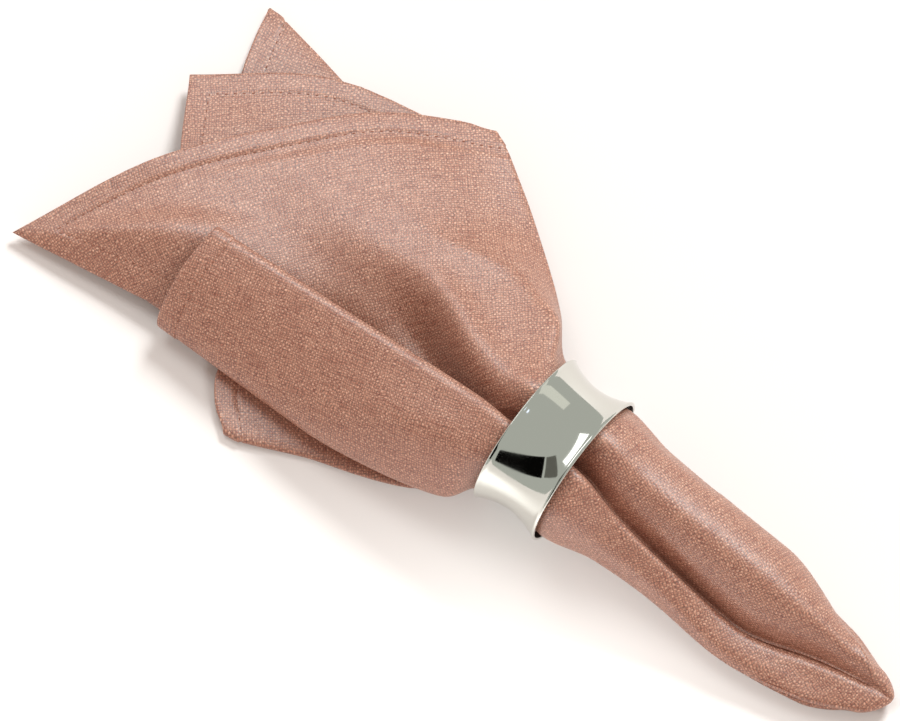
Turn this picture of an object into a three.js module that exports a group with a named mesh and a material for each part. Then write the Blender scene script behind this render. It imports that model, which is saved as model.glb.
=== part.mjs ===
import * as THREE from 'three';

// A square cloth napkin, pinched at its middle and drawn through a concave metal ring.
// The pinched middle is the closed tail towards +X, and the four corners fan out towards -X.
// Millimetres, +Z up. The tables are written from the point on the table under the ring.

// Cloth
const CLOTH_THICKNESS = 1;
const CLOTH_LIFT = CLOTH_THICKNESS / 2;

// Ring
const RING_LENGTH = 20.6;
const RING_RIM_RADIUS = 23;
const RING_WAIST_RADIUS = 20.25;
const RING_WALL = 0.8;
const RING_LIP_RADIUS = 0.55;
const RING_SEGMENTS = 64;
const RING_CURVE_STEPS = 10;
const RING_LIP_STEPS = 4;
const RING_LIP_TURN = Math.PI / 2;
const RING_AXIS_HEIGHT = RING_RIM_RADIUS * Math.cos(Math.PI / RING_SEGMENTS);

// The tail's round end, and how much wider the cloth is at the ring's mouths than at its waist
const TIP = new THREE.Vector3(112, 4, 4.4);
const NOSE_LENGTH = 6;
const NOSE_STEPS = 3;
const MOUTH_X = 11;
const MOUTH_GROWTH = 1.11;

// Stations along the cloth: length of cloth from the tail's cap, and steps up to the next station
const STATIONS = [
  { name: 'cap', length: 0, steps: 2, x: 106 },
  { name: 'far', length: 14, steps: 2, x: 92 },
  { name: 'mid', length: 40, steps: 3, x: 66 },
  { name: 'waist', length: 60, steps: 3, x: 46 },
  { name: 'near', length: 80, steps: 2, x: 26 },
  { name: 'tail_mouth', length: 95, steps: 1, x: MOUTH_X },
  { name: 'ring', length: 106, steps: 1, x: 0 },
  { name: 'fan_mouth', length: 117, steps: 2, x: -MOUTH_X },
  { name: 'flare', length: 132, steps: 3 },
  { name: 'half', length: 165, steps: 3 },
  { name: 'outer', length: 205, steps: 3 },
  { name: 'hem', length: 245, steps: 0 },
];
const LENGTHS = STATIONS.map((station) => station.length);
const FAN_MOUTH_LENGTH = STATIONS.find((station) => station.name === 'fan_mouth').length;

// Fold lines of the cloth in the tail, in order round its section: [y, z] at each station
// cap, far, mid, waist, near, ring
const TAIL = {
  crest_in: [[2.6, 7.0], [-0.7, 9.4], [-7.4, 11.6], [-7.3, 19.4], [-6.3, 28.4], [-4.0, 36.8]],
  crest_out: [[1.6, 7.4], [-2.3, 10.7], [-9.2, 13.0], [-9.4, 21.2], [-8.9, 30.2], [-6.8, 38.9]],
  flap: [[-1.4, 7.0], [-7.0, 9.9], [-13.6, 12.0], [-13.2, 18.2], [-14.4, 25.0], [-14.2, 33.6]],
  low_up: [[-4.2, 5.4], [-11.2, 6.9], [-15.7, 8.2], [-14.8, 12.4], [-16.4, 17.4], [-17.9, 22.5]],
  low_down: [[-4.5, 4.5], [-11.0, 5.2], [-15.0, 5.8], [-14.0, 9.2], [-15.0, 13.0], [-16.2, 16.0]],
  low_in: [[-4.5, 4.2], [-9.8, 4.8], [-11.0, 5.3], [-9.0, 7.4], [-10.0, 8.8], [-9.0, 12.2]],
  tuck_up: [[-4.5, 4.0], [-8.6, 4.6], [-7.0, 4.9], [-3.0, 6.2], [2.0, 8.2], [6.0, 12.2]],
  tuck_down: [[-4.4, 3.5], [-8.6, 3.1], [-7.0, 3.4], [-3.0, 4.7], [2.0, 6.7], [6.0, 10.7]],
  front: [[-4.3, 3.2], [-9.6, 2.8], [-10.4, 3.0], [-8.0, 4.5], [-5.0, 6.6], [-4.0, 10.6]],
  edge_up: [[-4.1, 2.9], [-10.6, 2.4], [-13.6, 2.7], [-12.4, 4.1], [-12.4, 6.5], [-11.6, 10.7]],
  edge_down: [[-3.2, 1.6], [-10.4, 1.0], [-13.3, 1.1], [-12.1, 2.5], [-12.1, 4.9], [-11.3, 9.1]],
  under_front: [[-1.2, 1.0], [-5.4, 0.6], [-7.0, 0.6], [-6.4, 1.2], [-6.4, 3.2], [-6.4, 6.3]],
  under: [[1.8, 0.8], [-1.0, 0.5], [-1.0, 0.5], [-1.0, 0.7], [-1.0, 2.4], [-1.0, 5.1]],
  under_back: [[5.4, 0.9], [7.0, 0.5], [9.4, 0.5], [9.0, 1.0], [8.6, 3.0], [7.6, 6.8]],
  back_down: [[7.5, 1.7], [12.2, 1.7], [15.6, 2.2], [15.6, 3.8], [14.5, 6.8], [12.8, 11.0]],
  back_up: [[8.4, 3.2], [12.8, 3.5], [15.8, 4.0], [15.8, 5.6], [14.8, 8.8], [13.2, 12.8]],
  side_down: [[8.2, 6.0], [10.8, 6.9], [15.8, 12.8], [15.8, 19.4], [16.4, 22.9], [16.4, 27.6]],
  side_up: [[7.7, 6.9], [10.8, 8.4], [17.8, 14.8], [17.4, 21.2], [17.6, 25.0], [17.0, 29.2]],
  ridge: [[6.9, 8.0], [9.2, 13.2], [13.4, 23.0], [13.6, 28.8], [13.6, 33.0], [13.0, 35.4]],
  top: [[5.8, 8.7], [6.0, 15.6], [5.2, 26.6], [4.6, 32.4], [4.8, 36.8], [5.4, 40.2]],
  trough: [[4.6, 7.9], [3.4, 13.0], [-1.8, 20.4], [-1.4, 26.6], [-0.8, 31.8], [0.6, 35.2]],
  left: [[4.1, 7.3], [2.2, 9.8], [-4.4, 13.6], [-4.0, 19.4], [-3.0, 28.0], [-0.3, 32.0]],
  valley_up: [[3.7, 6.9], [1.5, 8.2], [-5.4, 10.0], [-5.0, 15.6], [-4.2, 25.2], [-1.0, 29.9]],
  valley_flap: [[3.2, 6.8], [0.1, 8.1], [-7.0, 9.9], [-6.6, 15.6], [-5.8, 25.3], [-2.6, 29.9]],
  flap_in: [[2.9, 6.9], [-0.3, 8.7], [-7.3, 10.8], [-7.1, 17.6], [-6.1, 26.8], [-3.3, 33.2]],
};

// The same fold lines over the fan: [x, y, z] at flare, half, outer and hem
// An empty outer lies halfway between half and hem.
const FAN = {
  crest_in: [[-24, -4.0, 35.2], [-58, -5.0, 28.6], null, [-110.4, -6.8, 22.4]],
  crest_out: [[-24, -6.4, 38.0], [-58, -6.6, 31.2], null, [-111, -8.2, 25.0]],
  flap: [[-22, -18.2, 32.6], [-60, -21.0, 23.6], null, [-112, -20.6, 19.2]],
  low_up: [[-17.5, -26.4, 18.6], [-60, -33.4, 11.4], null, [-110.2, -33.2, 6.8]],
  low_down: [[-17.5, -25.6, 13.0], [-60, -32.4, 6.6], null, [-108.6, -32.0, 4.4]],
  low_in: [[-23, -17.0, 7.0], [-59, -24.0, 4.3], null, [-102, -25.0, 3.8]],
  tuck_up: [[-25, -6.0, 5.2], [-58, -10.0, 3.7], null, [-92, -12.0, 3.7]],
  tuck_down: [[-25, -6.0, 3.7], [-58, -10.0, 2.2], null, [-92, -12.0, 2.2]],
  front: [[-25, -12.0, 4.2], [-57, -22.0, 2.2], null, [-89.6, -34.0, 2.1]],
  edge_up: [[-28, -27.0, 5.0], [-56, -36.8, 2.1], null, [-79, -46.8, 2.0]],
  edge_down: [[-28, -26.8, 3.0], [-56, -36.6, 0.6], null, [-78.8, -46.5, 0.5]],
  under_front: [[-25, -14.0, 1.9], [-57, -22.0, 0.5], null, [-92, -31.0, 0.5]],
  under: [[-25, -2.0, 1.4], [-58, -8.0, 0.5], null, [-142, -24.0, 0.5]],
  under_back: [[-25, 9.0, 2.2], [-58, 12.0, 0.5], null, [-120, 22.0, 0.5]],
  back_down: [[-25, 17.6, 4.6], [-50, 27.9, 0.7], [-106, 50.1, 0.5], [-141.8, 57.1, 0.5]],
  back_up: [[-25, 18.0, 6.4], [-50, 28.0, 2.4], [-106, 50.4, 2.2], [-142, 57.3, 2.2]],
  side_down: [[-22, 29.8, 22.0], [-45.4, 48.6, 15.4], null, [-69.2, 64.0, 14.8]],
  side_up: [[-21.5, 30.6, 24.0], [-45.4, 49.2, 17.2], null, [-69.4, 64.5, 16.6]],
  ridge: [[-19, 24.6, 33.4], [-46, 31.0, 26.8], null, [-96, 49.0, 16.8]],
  top: [[-23, 5.0, 36.4], [-52, 17.0, 26.2], null, [-113, 32.0, 16.4]],
  trough: [[-25, -3.2, 27.0], [-56, 6.5, 18.8], [-95, 7.5, 18.2], [-138, 1.8, 13.2]],
  left: [[-26, -5.4, 25.0], [-58, -4.4, 16.4], [-110, -9.0, 18.4], [-158, -36.0, 2.5]],
  valley_up: [[-25, -7.6, 22.8], [-58, -24.0, 8.0], null, [-110.6, -29.2, 6.6]],
  valley_flap: [[-25, -9.4, 23.6], [-58.4, -25.4, 9.6], null, [-111, -29.8, 8.0]],
  flap_in: [[-25, -6.8, 29.6], [-58, -16.0, 19.6], null, [-111, -19.0, 16.4]],
};

// Pleats stacked behind the ring: sides they turn at, lowest and highest end, lowest and highest layer
const PLEAT_SIDES = ['left', 'right', 'left', 'right', 'left', 'right', 'left', 'right', 'left'];
const PLEAT_COUNT = PLEAT_SIDES.length;
const PLEAT_ENDS = {
  left: {
    near: [[-6], [-8]],
    ring: [[-8.5], [-14]],
    flare: [[-25, -6], [-25, -1]],
    half: [[-56, -3], [-55, 5]],
    hem: [[-112, -13], [-111, -10]],
  },
  right: {
    near: [[13.6], [15]],
    ring: [[13.6], [15.2]],
    flare: [[-25, 22], [-25, 26]],
    half: [[-47, 41], [-46, 45]],
    hem: [[-84, 54], [-80, 59]],
  },
};
const PLEAT_HEIGHTS = {
  left: { near: [10.6, 22.7], ring: [14, 27], flare: [8.1, 22], half: [3.4, 16], hem: [4.2, 16.6] },
  right: { near: [10.6, 22.7], ring: [14, 27], flare: [6.3, 20.9], half: [2, 14.8], hem: [1.8, 14] },
};
const PLEAT_HEM_STAGGER = [0, 2, -2, 1];

// Fold lines inside the layers of the back corner (layer 0) and the centre corner:
// y at near and ring, then x, y and share of the way from the left ends to the right ones at flare and half
const CENTRE_LAYER = 7;
const INNER = {
  back_in: {
    layer: 0, near: 8, ring: 5, flare: [-25, 6, 0.6], half: [-52, 15, 0.6],
    outer: [-106, 33, 2.3], hem: [-135, 34.5, 2.2],
  },
  centre_in: {
    layer: CENTRE_LAYER, near: -1, ring: -5, flare: [-25, 3, 0.19], half: [-54, 12, 0.18],
    outer: [-100, 2, 13.6], hem: [-130.5, 3.4, 11.9],
  },
  centre: {
    layer: CENTRE_LAYER, near: 4, ring: 1, flare: [-25, 10, 0.44], half: [-52, 20, 0.39],
    outer: [-106, 22, 12.9], hem: [-146.7, 28.5, 4.2],
  },
  centre_back: {
    layer: CENTRE_LAYER, near: 9, ring: 8, flare: [-25, 17, 0.7], half: [-49.5, 30, 0.64],
    outer: [-90, 42, 11.9], hem: [-114.6, 49.9, 9.8],
  },
};

// The pleats fade into the tail's back wall: share of the wall's height for a fold, and for the rest
const WALL_FOLD_SHARE = 4;
const WALL_STATIONS = ['cap', 'far', 'mid', 'waist'];

// Points between one fold line and the next: one, but for these
const POINTS_BETWEEN = {
  crest_out: 2, flap: 2, under: 2, back_up: 0, centre: 2, side_up: 2, ridge: 2, top: 2, trough: 2, left: 2,
};

// Corners of the napkin that stay sharp at the hem
const SHARP_CORNERS = ['left', 'centre'];

// Sharpness of the turn at which a fold closes on itself
const OPEN_TURN = -0.2;
const CLOSED_TURN = 0.6;

const { lerp, smoothstep } = THREE.MathUtils;

const pleatNames = (index) => [`pleat${index}_a`, `pleat${index}_b`];
const isPleatEnd = (name) => name.startsWith('pleat') && name.endsWith('_b');

// Order of the fold lines between the back corner and the side fold
function pocketNames() {
  const pleats = PLEAT_SIDES.map((side, index) => pleatNames(index));
  return [
    'back_in',
    ...pleats.slice(0, CENTRE_LAYER).flat(),
    'centre_in', 'centre', 'centre_back',
    ...pleats.slice(CENTRE_LAYER).flat(),
  ];
}

// Order of all fold lines round the section
function loopNames() {
  const names = Object.keys(TAIL);
  const afterBack = names.indexOf('side_down');
  return [...names.slice(0, afterBack), ...pocketNames(), ...names.slice(afterBack)];
}

const POCKET = pocketNames();
const LOOP = loopNames();
const FOLD_STARTS = new Set([
  'crest_in', 'tuck_up', 'edge_up', 'back_down', 'side_down', 'valley_up',
  ...PLEAT_SIDES.map((side, index) => pleatNames(index)[0]),
]);

function pointsBetween(name) {
  return isPleatEnd(name) ? 0 : (POINTS_BETWEEN[name] ?? 1);
}

// Height of a pleat layer at a station, at a share of the way from the left ends to the right ones
function layerHeight(station, layer, share) {
  const level = layer / PLEAT_COUNT;
  const left = lerp(...PLEAT_HEIGHTS.left[station], level);
  const right = lerp(...PLEAT_HEIGHTS.right[station], level);
  return lerp(left, right, share);
}

// A point of a fold line at a tail station from its y and z
function sectionPoint(name, y, z) {
  const station = STATIONS.find((entry) => entry.name === name);
  return new THREE.Vector3(station.x, y, z);
}

// The section at the ring's mouths is the one at its waist, grown about the ring's axis
function ringPoints(y, z) {
  const wideY = y * MOUTH_GROWTH;
  const wideZ = RING_AXIS_HEIGHT + (z - RING_AXIS_HEIGHT) * MOUTH_GROWTH;
  return {
    tail_mouth: sectionPoint('tail_mouth', wideY, wideZ),
    ring: sectionPoint('ring', y, z),
    fan_mouth: sectionPoint('fan_mouth', wideY, wideZ),
  };
}

// A fold line that the two tables give
function tableLine(name) {
  const [cap, far, mid, waist, near, ring] = TAIL[name];
  const [flare, half, outer, hem] = FAN[name].map((point) => point && new THREE.Vector3(...point));
  return {
    cap: sectionPoint('cap', ...cap),
    far: sectionPoint('far', ...far),
    mid: sectionPoint('mid', ...mid),
    waist: sectionPoint('waist', ...waist),
    near: sectionPoint('near', ...near),
    ...ringPoints(...ring),
    flare,
    half,
    outer: outer ?? half.clone().lerp(hem, 0.5),
    hem,
  };
}

// The two lines of a pleat's fold, one on each layer that it joins
function pleatLines(index) {
  const side = PLEAT_SIDES[index];
  const ends = PLEAT_ENDS[side];
  const share = side === 'left' ? 0 : 1;
  return [index, index + 1].map((layer) => {
    const level = layer / PLEAT_COUNT;
    const end = (station) => ends[station][0].map((low, axis) => lerp(low, ends[station][1][axis], level));
    const height = (station) => layerHeight(station, layer, share);
    const flare = new THREE.Vector3(...end('flare'), height('flare'));
    const half = new THREE.Vector3(...end('half'), height('half'));
    const hem = new THREE.Vector3(...end('hem'), height('hem'));
    hem.x += PLEAT_HEM_STAGGER[index % PLEAT_HEM_STAGGER.length];
    return {
      near: sectionPoint('near', ...end('near'), height('near')),
      ...ringPoints(...end('ring'), height('ring')),
      flare,
      half,
      outer: half.clone().lerp(hem, 0.5),
      hem,
    };
  });
}

// A fold line inside the back or centre corner's layer
function innerLine(name) {
  const { layer, near, ring, flare, half, outer, hem } = INNER[name];
  const level = ([x, y, share], station) => new THREE.Vector3(x, y, layerHeight(station, layer, share));
  return {
    near: sectionPoint('near', near, layerHeight('near', layer, 0)),
    ...ringPoints(ring, layerHeight('ring', layer, 0)),
    flare: level(flare, 'flare'),
    half: level(half, 'half'),
    outer: new THREE.Vector3(...outer),
    hem: new THREE.Vector3(...hem),
  };
}

// Where each pocket line meets the tail's back wall, from the back fold (0) to the side fold (1)
function wallShares() {
  const shares = [];
  let before = 'back_up';
  for (const name of [...POCKET, 'side_down']) {
    const wide = isPleatEnd(name) || before === 'back_up' || before === 'back_in' || name === 'side_down';
    shares.push(wide ? WALL_FOLD_SHARE : pointsBetween(before) + 1);
    before = name;
  }
  const whole = shares.reduce((sum, share) => sum + share);
  let reached = 0;
  return shares.map((share) => (reached += share) / whole);
}

// Every fold line, as its points from the tail's cap to the hem
function foldLines() {
  const lines = {};
  for (const name of Object.keys(TAIL)) {
    lines[name] = tableLine(name);
  }
  PLEAT_SIDES.forEach((side, index) => {
    const [first, second] = pleatLines(index);
    const [firstName, secondName] = pleatNames(index);
    lines[firstName] = first;
    lines[secondName] = second;
  });
  for (const name of Object.keys(INNER)) {
    lines[name] = innerLine(name);
  }
  const shares = wallShares();
  POCKET.forEach((name, index) => {
    for (const station of WALL_STATIONS) {
      lines[name][station] = lines.back_up[station].clone().lerp(lines.side_down[station], shares[index]);
    }
  });
  return LOOP.map((name) => STATIONS.map((station) => lines[name][station.name]));
}

// Slopes of a curve that never overshoots the values it passes through
function steadySlopes(values) {
  const rises = LENGTHS.slice(1).map((length, k) => (values[k + 1] - values[k]) / (length - LENGTHS[k]));
  return values.map((value, k) => {
    if (k === 0) return rises[0];
    if (k === values.length - 1) return rises[k - 1];
    if (rises[k - 1] * rises[k] <= 0) return 0;
    const before = LENGTHS[k] - LENGTHS[k - 1];
    const after = LENGTHS[k + 1] - LENGTHS[k];
    const first = 2 * after + before;
    const second = after + 2 * before;
    return (first + second) / (first / rises[k - 1] + second / rises[k]);
  });
}

// Weights of a cubic between two points and their two tangents
function cubicWeights(f) {
  return {
    start: (1 + 2 * f) * (1 - f) ** 2,
    startTangent: f * (1 - f) ** 2,
    end: f * f * (3 - 2 * f),
    endTangent: f * f * (f - 1),
  };
}

// Points along one fold line at the given lengths of cloth
function alongLine(points, lengths) {
  const axes = ['x', 'y', 'z'];
  const slopes = Object.fromEntries(axes.map((axis) => [axis, steadySlopes(points.map((p) => p[axis]))]));
  return lengths.map((length) => {
    const k = Math.min(LENGTHS.findLastIndex((start) => start <= length), LENGTHS.length - 2);
    const span = LENGTHS[k + 1] - LENGTHS[k];
    const w = cubicWeights((length - LENGTHS[k]) / span);
    const coordinate = (axis) => w.start * points[k][axis] + w.startTangent * span * slopes[axis][k]
      + w.end * points[k + 1][axis] + w.endTangent * span * slopes[axis][k + 1];
    return new THREE.Vector3(...axes.map(coordinate));
  });
}

const between = (from, to) => to.clone().sub(from);

// How far the layers on either side of a fold lie back to back: 0 straight on, 1 closed
function closing(before, start, end, after) {
  const turn = -between(before, start).normalize().dot(between(end, after).normalize());
  return smoothstep(turn, OPEN_TURN, CLOSED_TURN);
}

// Tangent at the middle one of three points, for the span that runs to the last one
function evenTangent(before, here, after, toward) {
  const first = Math.sqrt(before.distanceTo(here));
  const second = Math.sqrt(here.distanceTo(after));
  const span = toward === 'after' ? second : first;
  return between(before, here).divideScalar(first)
    .sub(between(before, after).divideScalar(first + second))
    .add(between(here, after).divideScalar(second))
    .multiplyScalar(span);
}

// Points of one span of the section, from fold line i to the next; sharp is 1 at the hem
function spanPoints(section, i, sharp) {
  const at = (offset) => section[(i + offset + section.length) % section.length];
  const nameAt = (offset) => LOOP[(i + offset + LOOP.length) % LOOP.length];
  const chord = between(at(0), at(1));
  const startTangent = evenTangent(at(-1), at(0), at(1), 'after');
  const endTangent = evenTangent(at(0), at(1), at(2), 'before');
  if (SHARP_CORNERS.includes(nameAt(0))) startTangent.lerp(chord, sharp);
  if (SHARP_CORNERS.includes(nameAt(1))) endTangent.lerp(chord, sharp);
  if (FOLD_STARTS.has(nameAt(0))) {
    const reach = 2 * chord.length();
    const closed = closing(at(-1), at(0), at(1), at(2));
    startTangent.lerp(between(at(-1), at(0)).setLength(reach), closed);
    endTangent.lerp(between(at(1), at(2)).setLength(reach), closed);
  } else {
    if (FOLD_STARTS.has(nameAt(-1))) startTangent.lerp(chord, closing(at(-2), at(-1), at(0), at(1)));
    if (FOLD_STARTS.has(nameAt(1))) endTangent.lerp(chord, closing(at(0), at(1), at(2), at(3)));
  }
  const count = pointsBetween(nameAt(0)) + 1;
  return Array.from({ length: count }, (unused, step) => {
    const w = cubicWeights(step / count);
    return new THREE.Vector3()
      .addScaledVector(at(0), w.start)
      .addScaledVector(startTangent, w.startTangent)
      .addScaledVector(at(1), w.end)
      .addScaledVector(endTangent, w.endTangent);
  });
}

// Lengths of cloth at which sections are taken
function sectionLengths() {
  const lengths = [LENGTHS[0]];
  STATIONS.slice(0, -1).forEach((station, k) => {
    for (let step = 1; step <= station.steps; step += 1) {
      lengths.push(lerp(station.length, LENGTHS[k + 1], step / station.steps));
    }
  });
  return lengths;
}

// Sections of the round nose: the cap's section drawn in to the tip along a quarter ellipse
function noseSections(cap) {
  const sections = [];
  for (let step = 1; step < NOSE_STEPS; step += 1) {
    const angle = (Math.PI / 2) * (step / NOSE_STEPS);
    sections.push(cap.map((point) => new THREE.Vector3(
      TIP.x - NOSE_LENGTH * (1 - Math.cos(angle)),
      lerp(TIP.y, point.y, Math.sin(angle)),
      lerp(TIP.z, point.z, Math.sin(angle)),
    )));
  }
  return sections;
}

// The middle surface of the cloth: closed sections from the tip to the hem, with their kind
function clothSections() {
  const lengths = sectionLengths();
  const lines = foldLines().map((points) => alongLine(points, lengths));
  const outer = LENGTHS[LENGTHS.length - 2];
  const hem = LENGTHS[LENGTHS.length - 1];
  const sections = lengths.map((length, j) => {
    const section = lines.map((line) => line[j]);
    const sharp = smoothstep(length, outer, hem);
    return {
      kind: length <= FAN_MOUTH_LENGTH ? 'upright' : 'fan',
      points: section.flatMap((point, i) => spanPoints(section, i, sharp)),
    };
  });
  const nose = noseSections(sections[0].points).map((points) => ({ kind: 'nose', points }));
  const all = [...nose, ...sections];
  for (const { points } of all) {
    points.forEach((point) => { point.z = Math.max(point.z, CLOTH_LIFT); });
  }
  return all;
}

// Direction of the section at one of its points, with short steps weighing more than long ones
function sectionDirection(points, i) {
  const here = points[i];
  const back = between(points.at(i - 1), here);
  const ahead = between(here, points[(i + 1) % points.length]);
  return back.divideScalar(Math.sqrt(back.length())).add(ahead.divideScalar(Math.sqrt(ahead.length())));
}

// Unit normal of the cloth at point i of section j, towards the inside of the tail
function clothNormal(sections, j, i) {
  const { kind, points } = sections[j];
  if (kind === 'nose') {
    return new THREE.Vector3(TIP.x - NOSE_LENGTH, TIP.y, TIP.z).sub(points[i]).normalize();
  }
  const ahead = sections[Math.min(j + 1, sections.length - 1)].points[i];
  const back = sections[Math.max(j - 1, 0)].points[i];
  const outward = kind === 'upright' ? new THREE.Vector3(-1, 0, 0) : between(back, ahead);
  return sectionDirection(points, i).cross(outward).normalize();
}

// The closed solid of the cloth: an inner and an outer skin, joined at the hem
function clothGeometry() {
  const sections = clothSections();
  const count = sections[0].points.length;
  const inner = [];
  const outer = [];
  sections.forEach(({ points }, j) => {
    points.forEach((point, i) => {
      const offset = clothNormal(sections, j, i).multiplyScalar(CLOTH_THICKNESS / 2);
      inner.push(point.clone().add(offset));
      outer.push(point.clone().sub(offset));
    });
  });
  const half = new THREE.Vector3(CLOTH_THICKNESS / 2, 0, 0);
  const vertices = [...inner, ...outer, TIP.clone().sub(half), TIP.clone().add(half)];
  const innerTip = vertices.length - 2;
  const outerTip = vertices.length - 1;
  const innerAt = (j, i) => j * count + (i % count);
  const outerAt = (j, i) => inner.length + innerAt(j, i);
  const faces = [];
  const quad = (a, b, c, d) => {
    if (vertices[a].distanceTo(vertices[c]) < vertices[b].distanceTo(vertices[d])) {
      faces.push(a, b, c, a, c, d);
    } else {
      faces.push(a, b, d, b, c, d);
    }
  };
  const last = sections.length - 1;
  for (let i = 0; i < count; i += 1) {
    faces.push(innerTip, innerAt(0, i + 1), innerAt(0, i));
    faces.push(outerTip, outerAt(0, i), outerAt(0, i + 1));
    for (let j = 0; j < last; j += 1) {
      quad(innerAt(j, i), innerAt(j, i + 1), innerAt(j + 1, i + 1), innerAt(j + 1, i));
      quad(outerAt(j, i + 1), outerAt(j, i), outerAt(j + 1, i), outerAt(j + 1, i + 1));
    }
    quad(innerAt(last, i), innerAt(last, i + 1), outerAt(last, i + 1), outerAt(last, i));
  }
  const geometry = new THREE.BufferGeometry().setFromPoints(vertices);
  geometry.setIndex(faces);
  geometry.computeVertexNormals();
  return geometry;
}

// Closed profile of the ring's wall: a waisted curve outside and inside, and a rolled lip at each end
function ringProfile() {
  const lipX = RING_LENGTH / 2 - RING_LIP_RADIUS;
  const lipRadius = RING_RIM_RADIUS - RING_LIP_RADIUS;
  const waistRadius = RING_WAIST_RADIUS - RING_WALL / 2;
  const wallEnd = lipX - RING_LIP_RADIUS;
  const wallRadius = (x) => lerp(waistRadius, lipRadius, (x / lipX) ** 2);
  const profile = [];
  for (let step = 0; step <= RING_CURVE_STEPS; step += 1) {
    const x = lerp(-wallEnd, wallEnd, step / RING_CURVE_STEPS);
    profile.push(new THREE.Vector2(wallRadius(x) + RING_WALL / 2, x));
  }
  for (const end of [1, -1]) {
    for (let step = 0; step <= RING_LIP_STEPS; step += 1) {
      const angle = end * lerp(RING_LIP_TURN, -RING_LIP_TURN, step / RING_LIP_STEPS);
      const reach = end * (lipX + RING_LIP_RADIUS * Math.cos(angle));
      profile.push(new THREE.Vector2(lipRadius + RING_LIP_RADIUS * Math.sin(angle), reach));
    }
    if (end === 1) {
      for (let step = 0; step <= RING_CURVE_STEPS; step += 1) {
        const x = lerp(wallEnd, -wallEnd, step / RING_CURVE_STEPS);
        profile.push(new THREE.Vector2(wallRadius(x) - RING_WALL / 2, x));
      }
    }
  }
  profile.push(profile[0].clone());
  return profile;
}

// The ring about X, standing on a facet of each rim
function ringGeometry() {
  const geometry = new THREE.LatheGeometry(ringProfile(), RING_SEGMENTS, Math.PI / RING_SEGMENTS);
  geometry.rotateZ(-Math.PI / 2);
  return geometry;
}

const linen = new THREE.MeshStandardMaterial({ color: 0xc08e7c, roughness: 0.9, metalness: 0 });
linen.name = 'linen';
const steel = new THREE.MeshStandardMaterial({ color: 0xc9ccc8, roughness: 0.12, metalness: 1 });
steel.name = 'steel';

const napkin = new THREE.Mesh(clothGeometry(), linen);
napkin.name = 'napkin';

const ring = new THREE.Mesh(ringGeometry(), steel);
ring.name = 'napkin_ring';
ring.position.z = RING_AXIS_HEIGHT;

// The origin is on the table, under the middle of the whole piece
const napkinInRing = new THREE.Group();
napkinInRing.add(napkin, ring);
const middle = new THREE.Box3().setFromObject(napkinInRing).getCenter(new THREE.Vector3());
napkinInRing.position.set(-middle.x, -middle.y, 0);
napkinInRing.updateMatrixWorld(true);

export default napkinInRing;
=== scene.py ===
import math

import bpy
import numpy as np
from mathutils import Matrix, Vector, noise


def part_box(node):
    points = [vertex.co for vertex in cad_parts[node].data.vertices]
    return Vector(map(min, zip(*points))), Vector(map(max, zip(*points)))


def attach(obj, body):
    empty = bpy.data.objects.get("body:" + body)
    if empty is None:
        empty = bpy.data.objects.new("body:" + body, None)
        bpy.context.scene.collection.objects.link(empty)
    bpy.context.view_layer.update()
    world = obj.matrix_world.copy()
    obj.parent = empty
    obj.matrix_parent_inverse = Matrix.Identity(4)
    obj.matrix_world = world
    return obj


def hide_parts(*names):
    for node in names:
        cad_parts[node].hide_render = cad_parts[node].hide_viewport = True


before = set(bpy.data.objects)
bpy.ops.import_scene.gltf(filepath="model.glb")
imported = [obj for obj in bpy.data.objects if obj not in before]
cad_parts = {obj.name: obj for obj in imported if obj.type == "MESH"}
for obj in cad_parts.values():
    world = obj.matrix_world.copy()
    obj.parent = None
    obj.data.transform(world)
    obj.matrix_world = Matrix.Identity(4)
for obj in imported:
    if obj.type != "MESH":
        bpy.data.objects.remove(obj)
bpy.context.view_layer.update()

# A square cloth napkin, pinched at its middle and drawn through a waisted metal ring.
# The napkin's tables are in millimetres from the point on the table under the ring, as the solid's are.

MM = 0.001
RING_LOW, RING_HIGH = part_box("napkin_ring")
RING_CENTRE = (RING_LOW + RING_HIGH) / 2
UNDER_RING = np.array((RING_CENTRE.x, RING_CENTRE.y, 0.0))
AXIS_HEIGHT = RING_CENTRE.z / MM

# Least height of the cloth's middle surface over the table
CLOTH_LIFT = 0.63

# Grain of the finishes; the cloth's threads are drawn coarser than real ones, which are too fine to show
THREAD_PITCH = 0.72
THREAD_MOTTLE = 0.5
STEEL_SMEAR = 9
STEEL_GRAIN = 0.8

# Thickness of the cloth at its sewn hem, where that rounds off, at its very edge, in its groove and elsewhere
HEM_THICKNESS = 1.25
ROUNDED_THICKNESS = 1.05
EDGE_THICKNESS = 0.6
GROOVE_THICKNESS = 0.5
CLOTH_THICKNESS = 0.75

# Sewing of the hem
STITCH_PITCH = 2.5
STITCH_LENGTH = 0.95
STITCH_RADIUS = 0.17
STITCH_SIDES = 6
STITCH_SHARPEST_TURN = math.radians(35)

# Rings of a stitch: place in half lengths, size in radii, and lift off the groove in radii
STITCH_RINGS = ((-1, 0.35, -0.5), (-0.75, 0.85, 0.1), (0, 1, 0.5), (0.75, 0.85, 0.1), (1, 0.35, -0.5))

# The tail's round end, and how much wider the cloth is at the ring's mouths than at its waist
TIP = np.array((112.0, 4.0, 4.4))
NOSE_LENGTH = 6
NOSE_TAPER = 0.35
NOSE_STEPS = 9
MOUTH_X = 11
MOUTH_GROWTH = 1.13

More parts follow.
